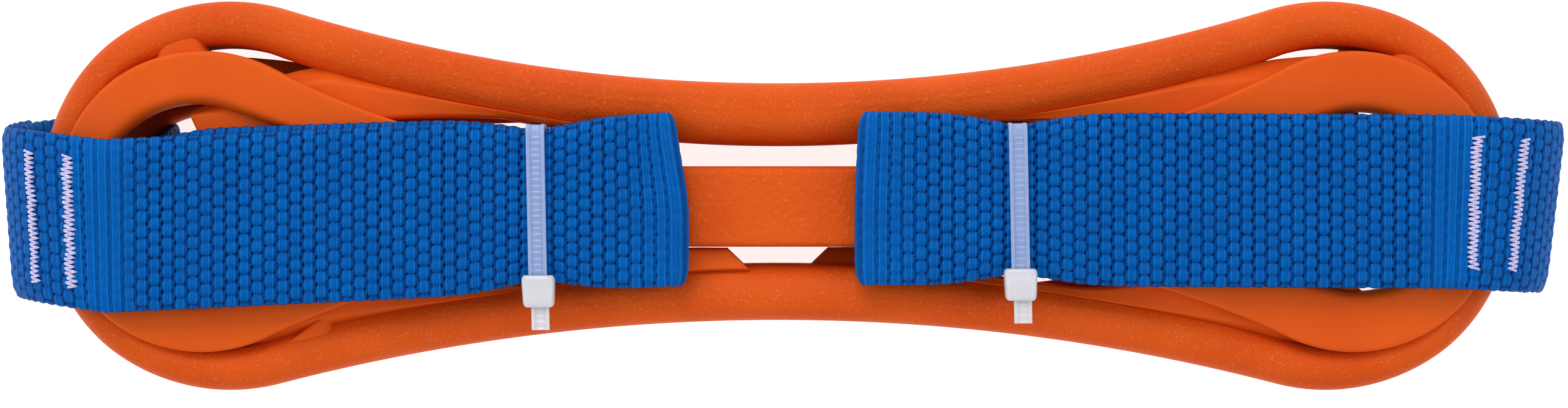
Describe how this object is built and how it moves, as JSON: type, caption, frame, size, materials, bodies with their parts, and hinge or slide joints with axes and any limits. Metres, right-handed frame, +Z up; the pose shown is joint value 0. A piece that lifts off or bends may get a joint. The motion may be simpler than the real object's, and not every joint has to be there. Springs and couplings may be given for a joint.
{
  "type": "rubber tug toy with webbing handles",
  "caption": "Bone-shaped rubber tug toy with an open rim, crossed inner loops, and two webbing handles folded over the front and held by cable ties.",
  "frame": {"origin": "under the middle of the toy, on the surface that it lies on", "axes": "+X along the body towards the right handle, +Y across the body, +Z up out of the front face; it lies on its back"},
  "size_m": [0.2411, 0.0594, 0.0302],
  "materials": {
    "rim_rubber": "moulded fine grain",
    "loop_rubber": "moulded smooth, matt",
    "webbing": "woven",
    "thread": "zigzag stitched",
    "tie_nylon": "natural nylon, translucent"
  },
  "bodies": {
    "toy": {"outer_rim": "rim_rubber", "centre_bar": "rim_rubber", "front_left_loop": "loop_rubber", "front_right_loop": "loop_rubber", "back_left_loop": "loop_rubber", "back_right_loop": "loop_rubber", "front_upper_left_ribbon": "loop_rubber", "front_upper_right_ribbon": "loop_rubber", "front_lower_left_ribbon": "loop_rubber", "front_lower_right_ribbon": "loop_rubber", "back_upper_left_ribbon": "loop_rubber", "back_upper_right_ribbon": "loop_rubber", "back_lower_left_ribbon": "loop_rubber", "back_lower_right_ribbon": "loop_rubber", "rim_spokes": "loop_rubber", "left_handle": "webbing", "right_handle": "webbing", "left_outer_stitches": "thread", "left_inner_stitches": "thread", "right_outer_stitches": "thread", "right_inner_stitches": "thread", "left_cable_tie": "tie_nylon", "right_cable_tie": "tie_nylon"},
    "left_free_end": {"left_handle_end": "webbing"},
    "right_free_end": {"right_handle_end": "webbing"}
  },
  "joints": [
    {"name": "left_end_lift", "type": "hinge", "parent": "toy", "child": "left_free_end", "pos_m": [-0.0342, 0, 0.02855], "axis": [0, -1, 0], "range_deg": [0, 60]},
    {"name": "right_end_lift", "type": "hinge", "parent": "toy", "child": "right_free_end", "pos_m": [0.0342, 0, 0.02855], "axis": [0, 1, 0], "range_deg": [0, 60]}
  ]
}
